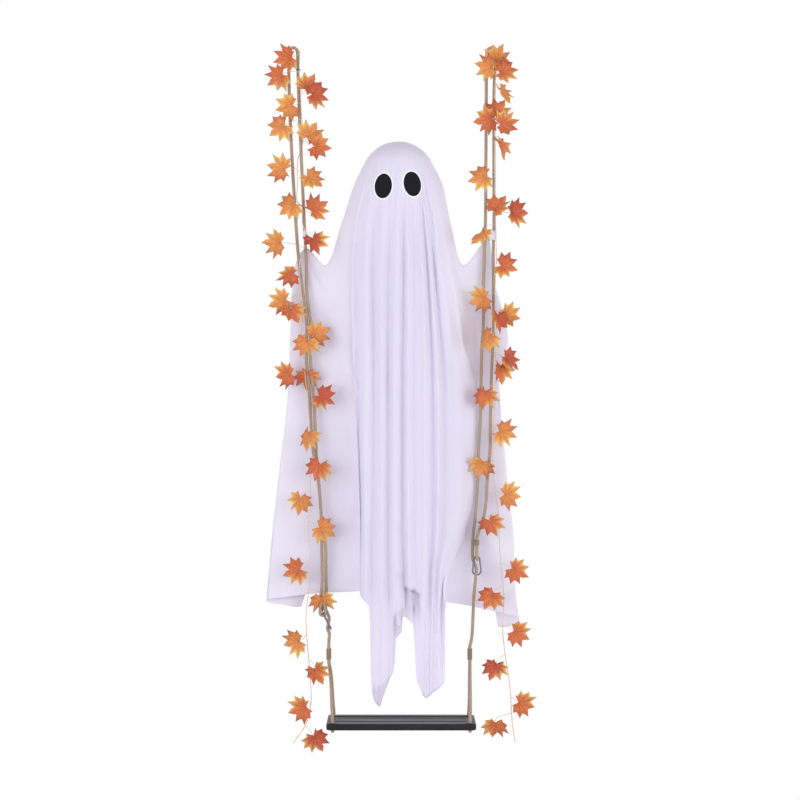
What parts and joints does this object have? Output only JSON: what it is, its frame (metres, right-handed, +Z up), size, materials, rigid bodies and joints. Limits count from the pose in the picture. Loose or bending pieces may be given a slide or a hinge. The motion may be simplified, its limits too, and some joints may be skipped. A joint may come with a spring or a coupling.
{
  "type": "hanging fabric ghost on a rope swing with leaf garlands and sprung snap hooks",
  "caption": "White cloth ghost with oval black eyes, tied by its hands to the ropes of a small black swing hung with autumn leaf garlands.",
  "frame": {"origin": "midway between the tops of the two rope loops that it hangs by", "axes": "+Z up, +Y away from the viewer, so the face looks along -Y, and +X to the viewer's right"},
  "size_m": [0.6988, 0.2127, 1.7866],
  "materials": {
    "cloth_white": "thin matt woven cloth, pale lavender white",
    "felt_black": "matt black felt",
    "strap_clear": "clear satin strap",
    "foam": "white foam",
    "post_grey": "grey plastic",
    "wire_steel": "plain steel wire",
    "jute": "laid tan rope",
    "twine": "wound tan twine",
    "steel": "satin nickel-plated steel",
    "seat_black": "black moulded plastic",
    "leaf_orange": "orange, yellow and dark red printed leaves on a moulded stem"
  },
  "bodies": {
    "root": {"ghost_cloth": "cloth_white", "left_eye": "felt_black", "right_eye": "felt_black", "left_hand_tie": "strap_clear", "right_hand_tie": "strap_clear", "ghost_head": "foam", "neck_post": "post_grey", "arm_wire": "wire_steel", "left_rope": "jute", "right_rope": "jute", "left_splice": "twine", "right_splice": "twine", "left_seat_whipping": "twine", "right_seat_whipping": "twine", "left_hook_body": "steel", "left_hook_rivet": "steel", "right_hook_body": "steel", "right_hook_rivet": "steel", "swing_seat": "seat_black", "left_garland": "leaf_orange", "right_garland": "leaf_orange", "left_garland_tie": "wire_steel", "right_garland_tie": "wire_steel"},
    "left_gate": {"left_hook_gate": "steel"},
    "right_gate": {"right_hook_gate": "steel"}
  },
  "joints": [
    {"name": "left_gate_hinge", "type": "hinge", "parent": "root", "child": "left_gate", "pos_m": [-0.17023, -0.00718, -1.42403], "axis": [0.8944, 0, 0.4472], "range_deg": [0, 9], "stiffness_Nm_per_rad": 0.002},
    {"name": "right_gate_hinge", "type": "hinge", "parent": "root", "child": "right_gate", "pos_m": [0.21818, 0, -1.2845], "axis": [0, 1, 0], "range_deg": [0, 9], "stiffness_Nm_per_rad": 0.002}
  ]
}
